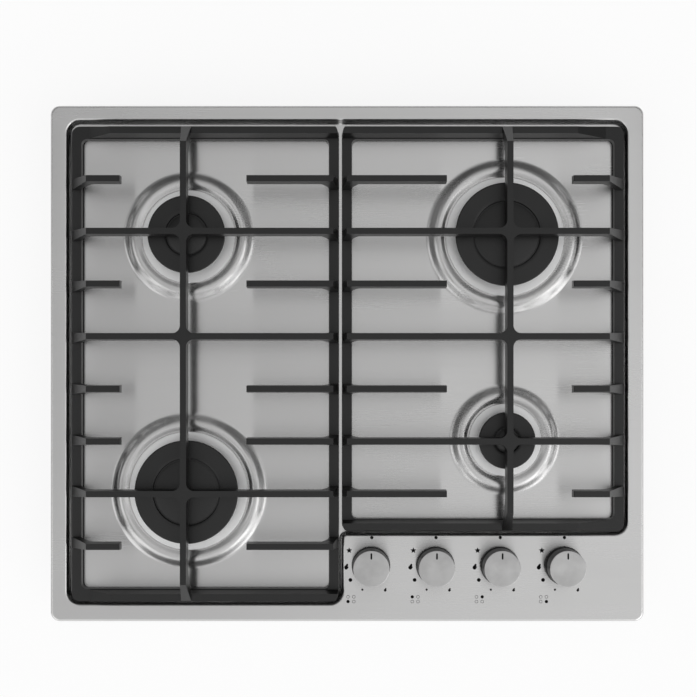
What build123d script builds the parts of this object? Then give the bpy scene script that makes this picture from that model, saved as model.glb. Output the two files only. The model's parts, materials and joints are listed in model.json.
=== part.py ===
from build123d import *
import os
from math import atan2, cos, degrees, pi, radians, sin, tan

# Built-in gas cooktop with four burners. Millimetres, X to the right, Y to the rear, Z up.
# The origin is under the centre of the plate, at the underside of the burner box.

# ---- top plate ----
plate_width = 580.0
plate_depth = 504.0
plate_corner_radius = 9.0
sheet = 1.0                      # stainless sheet of the plate
well_floor_z = 44.0              # upper face of the well floor
well_sink = 8.0                  # from the rim down to the well floor
rim_fold = 4.0                   # height of the edge that is folded down
rim_edge_radius = 2.6
rim_left = 16.0                  # rim widths, from the plate's edge to the well's lip
rim_right = 16.0
rim_rear = 14.0
rim_front = 16.5
panel_length = 294.0             # raised control panel, from the plate's right edge
panel_depth = 84.5               # and from its front edge
well_corner_radius = 13.0
panel_corner_radius = 4.0
well_lip_radius = 2.2
well_under_radius = 1.2          # under the lip
well_floor_radius = 2.4
well_wall_lean = 14.0            # degrees

# ---- seal and burner box ----
seal_width = 8.0
seal_squash = 0.5                # how far the seal stands below the folded edge
seal_inset = 0.6                 # from the seal to the inside of the fold
box_sheet = 0.8
box_inset = 5.0                  # from the well floor's edge to the box's outer face
box_corner_radius = 12.0
box_rib_width = 12.0             # pressed ribs in the bottom
box_rib_height = 1.6
box_rib_lean = 25.0              # degrees
box_rib_count = 5
box_rib_pitch = 70.0
box_rib_length = 300.0

# ---- burners ----
left_burner_inset = 118.8        # burners' axes, from the well's lip
right_burner_inset = 119.5
rear_burner_inset = 113.6
front_burner_inset = 110.9       # the left front one
left_row_count = 5               # rows of the grates from the rear burner forward to the front one
right_row_count = 4
cross_row_count = 2              # and to the bar between them
seat_rise = 3.8                  # embossed burner seat above the well floor
bead_rise = 4.8                  # bead round the seat, above the well floor
bead_offset = 4.4                # from the cup's flange to the crest of the bead
seat_slope = 10.0                # width of the bead's outer slope
seat_ease = 0.3                  # share of the slope that is eased at its foot and at its crest
flange_gap = 0.6
flange_overhang = 7.9            # cup flange beyond the cap
flange_thickness = 1.2
flange_bevel = 0.4
bowl_inset = 10.0                # cup bowl, inside the cap's edge
bowl_depth = 22.0                # below the seat
bowl_bevel = 2.0
casting_wall = 2.0
throat_wall = 2.0
collar_height = 13.0
head_inset = 6.0                 # flame spreader, inside the cap's edge
head_wall = 5.0
head_height = 13.5
head_floor = 2.0
head_bevel = 1.0
head_rebate = 2.0                # height and width of the foot round the spreader's underside
throat_lip = 3.0                 # throat, above the spreader's floor
throat_clearance = 2.3           # throat, above the floor of the cup
slot_width = 1.8
slot_depth = 4.5
slot_spacing = 8.2               # along the spreader's rim
cap_thickness = 3.6
cap_edge_bevel = 0.9
cap_groove_width = 1.4
cap_groove_depth = 0.8
cap_draft = 0.4                  # radius lost towards the cap's underside
cap_dish_depth = 1.0
cap_dish_edge = 0.35             # depth left at the groove
cap_dish_flat = 0.35             # flat middle of the dish, as a share of the groove's radius
cap_locator_depth = 3.0
lift_gap = 0.3                   # between pieces that lift off one another
fit_gap = 0.3                    # round pieces that slide in one another

burner_sizes = {                 # cap radius, throat radius, groove radius
    "rear_left": (37.5, 9.0, 19.5),
    "rear_right": (50.0, 12.0, 31.5),
    "front_left": (50.0, 12.0, 31.5),
    "front_right": (27.5, 7.0, 11.0),
}
igniter_bearing = 62.0           # degrees round each burner
probe_bearing = 118.0
electrode_inset = 2.9            # electrodes and probes, inside the cap's edge
ceramic_radius = 2.5
ceramic_foot = 16.0              # ceramic below the seat
ceramic_head = 6.5               # ceramic above the seat
spark_tip_radius = 1.0
spark_tip_length = 4.0
electrode_collar = 1.4
electrode_collar_height = 2.2
electrode_hole_gap = 0.3
probe_radius = 2.2
probe_head = 9.5
probe_foot = 13.0
probe_nut_height = 4.5

# ---- pan supports ----
grate_top = 46.0                 # above the well floor
bar_depth = 12.0
bar_top_width = 5.8
bar_lean = 3.6                   # degrees of draft on bars and fingers
root_width = 11.0                # flared roots of the bars that end on the raised rails
root_lean = 5.7                  # degrees
root_length = 30.0
root_drop = 4.0                  # from the bars' top down to the end of the flare
foot_height = 2.5
low_rail_top = 9.0               # above the well floor
side_rail_width = 10.0
end_rail_width = 13.0
end_rail_top = 23.0
end_rail_top_width = 6.6
end_rail_low = 18.0              # low stretch of the end rails at the outer corners
left_ramp = 22.0
right_ramp = 30.0
grate_corner_radius = 8.0
grate_inner_radius = 5.0
grate_side_gap = 5.0             # from the well's lip to the frames
grate_right_gap = 3.5
grate_rear_gap = 6.5
grate_front_gap = 3.0
grate_split_gap = 2.8
finger_reach = 60.0              # from the burner's axis to the finger tips
tip_bevel = 0.8
cross_fillet = 7.5
bar_end_setback = 22.0           # from the frame's outer edge to the bars' top
haunch_outer = 17.0
haunch_centre = 7.0
haunch_end = 25.0
haunch_hollow = 2.0              # depth of the curve under a bar's end
rail_ease = 0.5                  # from the low rails' faces to the bars' feet in them
foot_radius = 4.0
foot_inset = 6.4
foot_pin_radius = 1.6
foot_pin_height = 4.0

# ---- taps and knobs ----
knob_count = 4
first_knob_inset = 27.2          # first knob's axis, from the panel's left edge
last_knob_inset = 78.7           # last knob's axis, from the plate's right edge
knob_setback = 55.0              # knobs' axes, from the plate's front edge
knob_press = 3.0                 # travel
knob_clearance = 0.5             # left under a knob that is pressed in
knob_radius = 18.7
knob_base_height = 7.6
knob_base_lean = 0.8             # radius lost over the base's height
knob_skirt_straight = 2.5        # upright foot of the base
knob_foot_bevel = 0.5
knob_sleeve_radius = 18.0
knob_top_radius = 17.4
knob_edge_bevel = 0.7
knob_height = 26.0               # top of the knob above the panel
knob_wall = 2.0
knob_face = 1.2
knob_hub_radius = 6.5
knob_hub_rise = 2.0              # hub, above the base's foot
pointer_width = 1.7
pointer_length = 6.1
pointer_depth = 0.4
pointer_inset = 2.4
spindle_radius = 4.0
spindle_flat = 2.6               # from the axis to the flat
spindle_rise = 17.0              # above the panel
seal_ring_radius = 13.0
seal_ring_height = 1.8
panel_hole_radius = 5.2
tap_radius = 12.0
tap_top_z = 40.0
tap_bottom_z = 7.0
tap_wall = 3.0
tap_outlet_length = 4.0          # beyond the tap's round body
saddle_width = 18.0              # where a tap sits on the manifold
saddle_gap = 0.1
plug_radius = 7.0
plug_top_z = 36.0
plug_slot_depth = 12.0
plug_groove = 2.4                # width of the gas groove round the plug
spindle_depth = 7.0              # spindle inside the plug at rest
ear_offset = 17.0
ear_radius = 5.0
ear_thickness = 4.0
rail_width = 52.0
rail_sheet = 1.2
rail_overhang = 26.0             # beyond the first and last tap
switch_width = 24.0
switch_height = 6.0
switch_hole_radius = 5.6
switch_strip_width = 8.0
switch_strip_height = 2.0

# ---- gas way ----
manifold_radius = 8.0
manifold_bore = 6.4
manifold_offset = 20.6           # in front of the taps' axes
manifold_z = 30.0
manifold_bend = 24.0
inlet_side_inset = 41.0          # inlet's axis, from the plate's right edge
inlet_rear_inset = 44.0
inlet_body_radius = 12.0
inlet_thread_radius = 10.48      # half-inch pipe thread
inlet_thread_length = 15.4
inlet_neck_radius = 9.4          # relief between the thread and the body
inlet_neck_length = 0.8          # free of the recess's roof
inlet_bore = 6.0
inlet_body_top_z = 41.0
pocket_z = 20.0                  # height of the recess for the gas inlet
pocket_margin = 19.0             # from the inlet's axis to the recess's walls
pipe_radius = 4.0
pipe_z = 15.0
pipe_bend = 14.0
front_lane_offset = 38.0         # where the pipes turn off, behind the taps' axes
rear_lane_offset = 58.0
lane_gap = 29.5                  # room for two bends between a pipe's lane and its ends
injector_radius = 7.5
injector_height = 14.0
jet_radius = 3.6
jet_height = 5.0
port_radius = 5.5
port_length = 13.0

# ---- electrics, clamps and screws ----
module_size = (64.0, 42.0, 24.0)
module_offset = 66.0             # its middle, to the left of the panel
module_setback = 52.0            # and behind the plate's front edge
module_edge_radius = 2.0
spade_size = (6.0, 7.0, 1.0)     # one spade for each burner's spark lead
spade_pitch = 15.0
spade_z = 9.0
terminal_size = (42.0, 24.0, 18.0)
terminal_step_width = 10.5       # raised part over each terminal
terminal_screw_radius = 2.4
terminal_screw_depth = 3.0
terminal_count = 3
gland_inset = 85.0               # from the plate's left edge
gland_z = 22.0
gland_radius = 8.0
gland_bore = 3.6
gland_outside = 6.0
gland_inside = 8.0
gland_head_radius = 10.0
clamp_sheet = 1.5
clamp_width = 20.0
clamp_foot = 19.0
clamp_leg_top_z = 36.0
clamp_foot_z = 14.0
clamp_inset = 102.0              # from the plate's front and rear edges
clamp_screw_z = 28.0
screw_radius = 2.0
screw_head_radius = 3.6
screw_head_height = 2.2
tap_screw_length = 6.0
clamp_screw_length = 6.0

# ---- levels and lines that follow ----
rim_z = well_floor_z + well_sink
seat_z = well_floor_z + seat_rise
flange_top_z = seat_z + flange_thickness
head_bottom_z = flange_top_z + lift_gap
head_top_z = head_bottom_z + head_height
cap_bottom_z = head_top_z + lift_gap
cap_top_z = cap_bottom_z + cap_thickness
grate_top_z = well_floor_z + grate_top
bar_under_z = grate_top_z - bar_depth
rail_bottom_z = well_floor_z + foot_height
low_rail_z = well_floor_z + low_rail_top
end_rail_z = well_floor_z + end_rail_top
knob_bottom_z = rim_z + knob_press + knob_clearance
knob_shoulder_z = knob_bottom_z + knob_base_height
knob_top_z = rim_z + knob_height

plate_right = plate_width / 2
plate_rear = plate_depth / 2
well_left = rim_left - plate_right
well_right = plate_right - rim_right
well_rear = plate_rear - rim_rear
well_front = rim_front - plate_rear
panel_left = plate_right - panel_length
panel_rear = panel_depth - plate_rear
wall_run = well_sink * tan(radians(well_wall_lean))

box_left = well_left + wall_run + box_inset
box_right = well_right - wall_run - box_inset
box_rear = well_rear - wall_run - box_inset
box_front = well_front + wall_run + box_inset
box_top_z = well_floor_z - sheet

left_burner_x = well_left + left_burner_inset
right_burner_x = well_right - right_burner_inset
rear_burner_y = well_rear - rear_burner_inset
row_pitch = (rear_burner_y - front_burner_inset - well_front) / left_row_count
burner_centres = {
    "rear_left": (left_burner_x, rear_burner_y),
    "rear_right": (right_burner_x, rear_burner_y),
    "front_left": (left_burner_x, rear_burner_y - left_row_count * row_pitch),
    "front_right": (right_burner_x, rear_burner_y - right_row_count * row_pitch),
}

knob_burners = ["front_left", "rear_left", "rear_right", "front_right"]
knob_y = knob_setback - plate_rear
knob_pitch = (panel_length - first_knob_inset - last_knob_inset) / (knob_count - 1)
knob_xs = [panel_left + first_knob_inset + knob_pitch * index for index in range(knob_count)]
manifold_y = knob_y - manifold_offset
manifold_side_x = plate_right - inlet_side_inset
inlet_y = plate_rear - inlet_rear_inset
front_lane_y = knob_y + front_lane_offset
rear_lane_y = knob_y + rear_lane_offset
rear_lane_x = {"rear_left": (left_burner_x + port_length + knob_xs[1]) / 2,
               "rear_right": min(right_burner_x - port_length, knob_xs[2]) - lane_gap}
module_centre = (panel_left - module_offset, module_setback - plate_rear)
gland_x = gland_inset - plate_right
clamp_y = plate_rear - clamp_inset

os.makedirs("parts", exist_ok=True)


def save(shape, name):
    export_step(shape, f"parts/{name}.step")


def block(low, high):
    """A plain block between two corners."""
    size = [b - a for a, b in zip(low, high)]
    centre = [(a + b) / 2 for a, b in zip(low, high)]
    return Pos(*centre) * Box(*size)


def rod(radius, bottom, top, x=0.0, y=0.0):
    """An upright cylinder between two heights."""
    return Pos(x, y, (bottom + top) / 2) * Cylinder(radius, top - bottom)


def turned(*outline):
    """The solid that an outline of (radius, height) points sweeps about Z."""
    return revolve(Plane.XZ * make_face(Polyline(*outline, close=True)), Axis.Z)


def plan(low, high, radius):
    """A rounded rectangle in plan."""
    width, depth = high[0] - low[0], high[1] - low[1]
    return Pos((low[0] + high[0]) / 2, (low[1] + high[1]) / 2) * RectangleRounded(width, depth, radius)


def raised(face, bottom, top, lean=0.0):
    """A plan face given height, each wall leaning inwards by lean degrees."""
    return Pos(0, 0, bottom) * extrude(face, top - bottom, taper=lean)


def edges_between(shape, low, high):
    """The edges that lie between two heights."""
    return [e for e in shape.edges() if e.bounding_box().min.Z > low and e.bounding_box().max.Z < high]


def bearing_point(name, radius, bearing):
    """A point round a burner's axis."""
    x, y = burner_centres[name]
    return x + radius * cos(radians(bearing)), y + radius * sin(radians(bearing))


def electrode_points(name, bearing):
    return bearing_point(name, burner_sizes[name][0] - electrode_inset, bearing)


# ---- top plate ----
def well_plan(spread=0.0):
    """The L-shaped outline of the well's floor, moved outwards by spread."""
    left, right = well_left + wall_run - spread, well_right - wall_run + spread
    rear, front = well_rear - wall_run + spread, well_front + wall_run - spread
    step_x, step_y = panel_left - wall_run + spread, panel_rear + wall_run - spread
    outline = make_face(Polyline((left, front), (step_x, front), (step_x, step_y), (right, step_y),
                                 (right, rear), (left, rear), close=True))
    outer = outline.vertices().sort_by_distance((step_x, step_y))[1:]
    rounded = fillet(outer, well_corner_radius - wall_run + spread)
    inner = rounded.vertices().sort_by_distance((step_x, step_y))[0]
    return fillet(inner, panel_corner_radius + wall_run - spread)


def burner_seat(name):
    """Pressed ring of sheet round a burner, from the well floor up to the seat."""
    cap_radius = burner_sizes[name][0]
    edge = cap_radius + flange_overhang + flange_gap
    crest = cap_radius + flange_overhang + bead_offset
    foot = crest + seat_slope
    hole = cap_radius - bowl_inset + fit_gap
    ease, step = seat_ease * seat_slope, seat_ease * bead_rise / 2
    skin = [(foot, well_floor_z), (foot - ease, well_floor_z + step),
            (crest + ease, well_floor_z + bead_rise - step), (crest, well_floor_z + bead_rise),
            (edge, seat_z), (hole, seat_z)]
    under = [(radius, height - sheet) for radius, height in reversed(skin)]
    x, y = burner_centres[name]
    opening = rod(foot, well_floor_z - 2 * sheet, well_floor_z + sheet, x, y)
    return Pos(x, y) * turned(*skin, *under), opening


def lip_edges(plate, height):
    """The edges round the well at one height."""
    edges = []
    for edge in edges_between(plate, height - 0.1, height + 0.1):
        box = edge.bounding_box()
        if (box.min.X > well_left - 2 * sheet and box.max.X < well_right + 2 * sheet
                and box.min.Y > well_front - 2 * sheet and box.max.Y < well_rear + 2 * sheet):
            edges.append(edge)
    return edges


def top_plate():
    outer = plan((-plate_right, -plate_rear), (plate_right, plate_rear), plate_corner_radius)
    inner = plan((sheet - plate_right, sheet - plate_rear), (plate_right - sheet, plate_rear - sheet),
                 plate_corner_radius - sheet)
    rim = raised(outer, rim_z - rim_fold, rim_z)
    rim = fillet(edges_between(rim, rim_z - 0.1, rim_z + 0.1), rim_edge_radius)
    hollow = raised(inner, rim_z - rim_fold, rim_z - sheet)
    hollow = fillet(edges_between(hollow, rim_z - sheet - 0.1, rim_z), rim_edge_radius - sheet)
    pan = raised(well_plan(sheet), well_floor_z - sheet, rim_z - sheet / 2, -well_wall_lean)
    pan = fillet(edges_between(pan, box_top_z - 0.1, box_top_z + 0.1), well_floor_radius + sheet)
    well = raised(well_plan(), well_floor_z, rim_z + sheet, -well_wall_lean)
    well = fillet(edges_between(well, well_floor_z - 0.1, well_floor_z + 0.1), well_floor_radius)
    plate = (rim - hollow) + pan - well
    plate = fillet(lip_edges(plate, rim_z), well_lip_radius)
    plate = fillet(lip_edges(plate, rim_z - sheet), well_under_radius)
    for name in burner_centres:
        ring, opening = burner_seat(name)
        plate = plate - opening + ring
        for bearing, radius in ((igniter_bearing, ceramic_radius), (probe_bearing, probe_radius)):
            x, y = electrode_points(name, bearing)
            plate -= rod(radius + electrode_hole_gap, seat_z - 2 * sheet, seat_z + sheet, x, y)
    for x in knob_xs:
        plate -= rod(panel_hole_radius, rim_z - 2 * sheet, rim_z + sheet, x, knob_y)
    return plate


def rim_seal():
    edge_x, edge_y = plate_right - sheet - seal_inset, plate_rear - sheet - seal_inset
    bottom, top = rim_z - rim_fold - seal_squash, rim_z - sheet
    corner = plate_corner_radius - sheet - seal_inset
    outer = plan((-edge_x, -edge_y), (edge_x, edge_y), corner)
    inner = plan((seal_width - edge_x, seal_width - edge_y), (edge_x - seal_width, edge_y - seal_width),
                 corner / 2)
    ring = raised(outer - inner, bottom, top)
    return chamfer(edges_between(ring, top - 0.1, top + 0.1).copy(), rim_edge_radius - sheet)


# ---- burner box ----
def bottom_box():
    low, high = (box_left, box_front), (box_right, box_rear)
    inner_low = (box_left + box_sheet, box_front + box_sheet)
    inner_high = (box_right - box_sheet, box_rear - box_sheet)
    pocket_x, pocket_y = manifold_side_x - pocket_margin, inlet_y - pocket_margin
    outside = raised(plan(low, high, box_corner_radius), 0, box_top_z)
    outside -= block((pocket_x, pocket_y, -1), (box_right + 1, box_rear + 1, pocket_z))
    inside = raised(plan(inner_low, inner_high, box_corner_radius - box_sheet), box_sheet, box_top_z + 1)
    inside -= block((pocket_x - box_sheet, pocket_y - box_sheet, -1),
                    (box_right + 1, box_rear + 1, pocket_z + box_sheet))
    box = outside - inside
    skirt_left, skirt_rear = panel_left + sheet + fit_gap, panel_rear - sheet - fit_gap
    skirt = raised(plan(low, high, box_corner_radius), box_top_z, rim_z - sheet)
    skirt -= raised(plan(inner_low, inner_high, box_corner_radius - box_sheet), box_top_z - 1, rim_z)
    box += skirt & block((skirt_left, -plate_rear, box_top_z), (plate_right, skirt_rear, rim_z))
    middle = (box_left + box_right) / 2
    for index in range(box_rib_count):
        x = middle + (index - (box_rib_count - 1) / 2) * box_rib_pitch
        length, width = box_rib_length, box_rib_width
        crown = Pos(x, 0) * SlotOverall(length + 2 * box_sheet, width + 2 * box_sheet, rotation=90)
        box += raised(crown, box_sheet, box_rib_height + box_sheet, box_rib_lean)
        rib = Pos(x, 0) * SlotOverall(length, width, rotation=90)
        box -= raised(rib, 0, box_rib_height, box_rib_lean)
    box -= rod(inlet_thread_radius + fit_gap, pocket_z - 1, pocket_z + 2, manifold_side_x, inlet_y)
    box -= Pos(gland_x, box_rear, gland_z) * Rot(90, 0, 0) * Cylinder(gland_radius, 4 * box_sheet)
    for side_x in (box_left, box_right):
        for y in (-clamp_y, clamp_y):
            box -= Pos(side_x, y, clamp_screw_z) * Rot(0, 90, 0) * Cylinder(screw_radius, 4 * box_sheet)
    return box


# ---- burners ----
def burner_cup(name):
    cap_radius, throat, _ = burner_sizes[name]
    flange, bowl = cap_radius + flange_overhang, cap_radius - bowl_inset
    bottom = seat_z - bowl_depth
    collar_in, collar_out = throat + fit_gap, throat + fit_gap + throat_wall
    collar_top = bottom + casting_wall + collar_height
    cup = turned(
        (jet_radius + fit_gap, bottom), (bowl - bowl_bevel, bottom), (bowl, bottom + bowl_bevel),
        (bowl, seat_z), (flange, seat_z), (flange, flange_top_z - flange_bevel),
        (flange - flange_bevel, flange_top_z),
        (bowl - casting_wall, flange_top_z), (bowl - casting_wall, bottom + casting_wall),
        (collar_out, bottom + casting_wall), (collar_out, collar_top), (collar_in, collar_top),
        (collar_in, bottom + casting_wall), (jet_radius + fit_gap, bottom + casting_wall))
    x, y = burner_centres[name]
    cup = Pos(x, y) * cup
    for bearing, radius in ((igniter_bearing, ceramic_radius), (probe_bearing, probe_radius)):
        hole_x, hole_y = electrode_points(name, bearing)
        cup -= rod(radius + electrode_hole_gap, seat_z - 1, flange_top_z + 1, hole_x, hole_y)
    return cup


def burner_head(name):
    cap_radius, throat, _ = burner_sizes[name]
    rim, inner = cap_radius - head_inset, cap_radius - head_inset - head_wall
    roof = head_bottom_z + head_rebate
    floor_top = roof + head_floor
    throat_bottom = seat_z - bowl_depth + casting_wall + throat_clearance
    head = turned(
        (rim, head_bottom_z), (rim, head_top_z - head_bevel), (rim - head_bevel, head_top_z),
        (inner, head_top_z), (inner, floor_top), (throat, floor_top + throat_lip),
        (throat - throat_wall, floor_top + throat_lip), (throat - throat_wall, throat_bottom),
        (throat, throat_bottom), (throat, roof), (rim - head_rebate, roof),
        (rim - head_rebate, head_bottom_z))
    count = round(2 * pi * rim / slot_spacing)
    slot = Pos(rim, 0, head_top_z) * Box(3 * head_wall, slot_width, 2 * slot_depth)
    head -= [Rot(0, 0, 360 / count * (index + 0.5)) * slot for index in range(count)]
    x, y = burner_centres[name]
    return Pos(x, y) * head


def burner_cap(name):
    cap_radius, _, groove = burner_sizes[name]
    locator = cap_radius - head_inset - head_wall - fit_gap
    inner, outer = groove - cap_groove_width / 2, groove + cap_groove_width / 2
    dish_z, dish_edge_z = cap_top_z - cap_dish_depth, cap_top_z - cap_dish_edge
    locator_z, dish_flat = cap_bottom_z - cap_locator_depth, cap_dish_flat * groove
    x, y = burner_centres[name]
    return Pos(x, y) * turned(
        (0, dish_z), (dish_flat, dish_z), (inner, dish_edge_z),
        (groove, cap_top_z - cap_groove_depth), (outer, cap_top_z),
        (cap_radius - cap_edge_bevel, cap_top_z), (cap_radius, cap_top_z - cap_edge_bevel),
        (cap_radius - cap_draft, cap_bottom_z), (locator, cap_bottom_z), (locator, locator_z),
        (locator - casting_wall, locator_z), (locator - casting_wall, cap_bottom_z), (0, cap_bottom_z))


def igniters():
    electrodes = []
    for name in burner_centres:
        x, y = electrode_points(name, igniter_bearing)
        collar_top, tip_bottom = seat_z - sheet, seat_z + ceramic_head
        collar_bottom, collar_radius = collar_top - electrode_collar_height, ceramic_radius + electrode_collar
        ceramic = rod(ceramic_radius, seat_z - ceramic_foot, tip_bottom, x, y)
        collar = rod(collar_radius, collar_bottom, collar_top, x, y)
        tip = rod(spark_tip_radius, tip_bottom, tip_bottom + spark_tip_length, x, y)
        electrodes.append(ceramic + collar + tip)
    return Compound(children=electrodes)


def thermocouple(name):
    x, y = electrode_points(name, probe_bearing)
    collar_top = seat_z - sheet
    probe = rod(probe_radius, seat_z - probe_foot, seat_z + probe_head - probe_radius, x, y)
    probe += Pos(x, y, seat_z + probe_head - probe_radius) * Sphere(probe_radius)
    nut = RegularPolygon(probe_radius + electrode_collar, 6)
    return probe + Pos(x, y) * raised(nut, collar_top - probe_nut_height, collar_top)


def injector_port(name):
    """The side of a burner where its gas pipe arrives, as a bearing in degrees."""
    return {"front_left": 270.0, "rear_left": 0.0, "rear_right": 180.0, "front_right": 0.0}[name]


def injectors():
    holders = []
    top = seat_z - bowl_depth
    for name, (x, y) in burner_centres.items():
        holder = rod(injector_radius, top - injector_height, top, x, y)
        holder += rod(jet_radius, top, top + jet_height, x, y)
        port = Pos(port_length / 2, 0, 0) * Rot(0, 90, 0) * Cylinder(port_radius, port_length)
        holder += Pos(x, y, pipe_z) * Rot(0, 0, injector_port(name)) * port
        holders.append(holder)
    return Compound(children=holders)


# ---- pan supports ----
def frames():
    """Outer corners of the left and right frames in plan, and the side that carries the low corners."""
    rear = well_rear - grate_rear_gap
    left = {"low": (well_left + grate_side_gap, well_front + grate_front_gap),
            "high": (panel_left - 2 * wall_run, rear),
            "outer": "left", "x": left_burner_x, "ramp": left_ramp, "rows": left_row_count}
    right = {"low": (panel_left - 2 * wall_run + grate_split_gap, panel_rear + grate_front_gap),
             "high": (well_right - grate_right_gap, rear),
             "outer": "right", "x": right_burner_x, "ramp": right_ramp, "rows": right_row_count}
    return left, right


def row_places(frame):
    """Y of the bars and of the fingers, which go on for one row beyond the outer bars."""
    bars = (0, cross_row_count, frame["rows"])
    fingers = [row for row in range(-1, frame["rows"] + 2) if row not in bars]
    return [[rear_burner_y - row * row_pitch for row in rows] for rows in (bars, fingers)]


def section(top_width, top, bottom, lean):
    """A section in the YZ plane that widens downwards."""
    half, spread = top_width / 2, (top - bottom) * tan(radians(lean))
    return Plane.YZ * make_face(Polyline((-half, top), (half, top), (half + spread, bottom),
                                         (-half - spread, bottom), close=True))


def drafted(outline, start, end, top_width, top, bottom, lean, roots=()):
    """A bar along X: a side outline cut to a section that widens downwards, and more at its roots."""
    side = extrude(Plane.XZ * make_face(outline), end_rail_width, both=True)
    body = Pos(start - 1, 0, 0) * extrude(section(top_width, top, bottom, lean), end - start + 2)
    for x in roots:
        flare = Pos(x, 0) * Rectangle(root_length, root_width)
        body += raised(flare, bottom, top - root_drop, root_lean)
    return side & body


def bar(start, end, start_kind, end_kind):
    """A bar or finger along X, from start to end. Each end is 'outer', 'centre', 'end' or 'tip'."""
    sink = low_rail_z - rail_bottom_z - rail_ease

    def finish(edge, kind, inward):
        """Outline from the underside, round one end, up to the top face."""
        if kind == "tip":
            return [(edge, bar_under_z + tip_bevel), (edge, grate_top_z - tip_bevel)], None
        foot = end_rail_z if kind == "end" else low_rail_z
        width = end_rail_top_width if kind == "end" else side_rail_width - 2 * rail_ease
        rest = (end_rail_width - end_rail_top_width) / 2 if kind == "end" else rail_ease
        setback = side_rail_width / 2 if kind == "centre" else bar_end_setback
        haunch = {"outer": haunch_outer, "centre": haunch_centre, "end": haunch_end}[kind]
        outer_foot = (edge + inward * rest, foot)
        inner_foot = (edge + inward * (rest + width), foot)
        under = (inner_foot[0] + inward * haunch, bar_under_z)
        return [outer_foot, (edge + inward * setback, grate_top_z)], (inner_foot, under)

    lines = []
    left, left_haunch = finish(start, start_kind, 1)
    right, right_haunch = finish(end, end_kind, -1)
    under_left = (start + tip_bevel, bar_under_z)
    under_right = (end - tip_bevel, bar_under_z)
    if start_kind == "tip":
        left = left + [(start + tip_bevel, grate_top_z)]
    if end_kind == "tip":
        right = right + [(end - tip_bevel, grate_top_z)]
    if left_haunch:
        foot, under_left = left_haunch
        lines += [SagittaArc(foot, under_left, haunch_hollow),
                  Polyline((left[0][0], left[0][1]), (left[0][0], left[0][1] - sink),
                           (foot[0], foot[1] - sink), foot)]
    else:
        lines.append(Line(under_left, left[0]))
    if right_haunch:
        foot, under_right = right_haunch
        lines += [SagittaArc(foot, under_right, -haunch_hollow),
                  Polyline((right[0][0], right[0][1]), (right[0][0], right[0][1] - sink),
                           (foot[0], foot[1] - sink), foot)]
    else:
        lines.append(Line(under_right, right[0]))
    lines += [Polyline(*left, *reversed(right)), Line(under_left, under_right)]
    ends = ((start_kind, start + root_length / 2), (end_kind, end - root_length / 2))
    roots = [x for kind, x in ends if kind == "end"]
    bottom = (end_rail_z if roots else low_rail_z) - sink
    return drafted(lines, start, end, bar_top_width, grate_top_z, bottom, bar_lean, roots)


def cross_gusset():
    """Filler with hollow corners where two bars cross."""
    half = bar_top_width / 2
    size = 2 * (half + cross_fillet)
    star = Rectangle(size, size)
    star -= [Pos(sx * (half + cross_fillet), sy * (half + cross_fillet)) * Circle(cross_fillet)
             for sx in (-1, 1) for sy in (-1, 1)]
    return raised(star, bar_under_z, grate_top_z)


def end_rail(frame, y):
    """Raised front or rear rail, low at the outer corner and ramped up from there."""
    (low_x, _), (high_x, _) = frame["low"], frame["high"]
    flat, ramp = end_rail_low, end_rail_low + frame["ramp"]
    if frame["outer"] == "left":
        crest = [(low_x, low_rail_z), (low_x + flat, low_rail_z),
                 (low_x + ramp, end_rail_z), (high_x, end_rail_z)]
    else:
        crest = [(low_x, end_rail_z), (high_x - ramp, end_rail_z),
                 (high_x - flat, low_rail_z), (high_x, low_rail_z)]
    outline = Polyline((low_x, rail_bottom_z), *crest, (high_x, rail_bottom_z), close=True)
    lean = degrees(atan2((end_rail_width - end_rail_top_width) / 2, end_rail_z - rail_bottom_z))
    rail = drafted(outline, low_x, high_x, end_rail_top_width, end_rail_z, rail_bottom_z, lean)
    return Pos(0, y, 0) * rail


def foot_points(frame):
    (low_x, low_y), (high_x, high_y) = frame["low"], frame["high"]
    return [(x, y) for x in (low_x + foot_inset, high_x - foot_inset)
            for y in (low_y + foot_inset, high_y - foot_inset)]


def grate(frame):
    (low_x, low_y), (high_x, high_y) = frame["low"], frame["high"]
    outer = plan(frame["low"], frame["high"], grate_corner_radius)
    inner = plan((low_x + side_rail_width, low_y + end_rail_width),
                 (high_x - side_rail_width, high_y - end_rail_width), grate_inner_radius)
    casting = raised(outer, rail_bottom_z, low_rail_z, bar_lean)
    casting -= raised(inner, rail_bottom_z, low_rail_z, -bar_lean)
    bounds = raised(outer, rail_bottom_z, grate_top_z, bar_lean)
    for y in (low_y + end_rail_width / 2, high_y - end_rail_width / 2):
        casting += end_rail(frame, y) & bounds
    kinds = ("outer", "centre") if frame["outer"] == "left" else ("centre", "outer")
    bars, fingers = row_places(frame)
    for y in bars:
        casting += Pos(0, y, 0) * bar(low_x, high_x, *kinds)
    for y in fingers:
        casting += Pos(0, y, 0) * bar(low_x, frame["x"] - finger_reach, kinds[0], "tip")
        casting += Pos(0, y, 0) * bar(frame["x"] + finger_reach, high_x, "tip", kinds[1])
    casting += Pos(frame["x"], 0, 0) * Rot(0, 0, 90) * bar(low_y, high_y, "end", "end")
    for y in bars:
        casting += Pos(frame["x"], y, 0) * cross_gusset()
    for x, y in foot_points(frame):
        casting -= rod(foot_pin_radius, rail_bottom_z - 1, rail_bottom_z + foot_pin_height, x, y)
    return casting


def grate_feet(frame):
    feet = []
    for x, y in foot_points(frame):
        foot = rod(foot_radius, well_floor_z, rail_bottom_z, x, y)
        foot += rod(foot_pin_radius, rail_bottom_z, rail_bottom_z + foot_pin_height, x, y)
        feet.append(foot)
    return Compound(children=feet)


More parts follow.
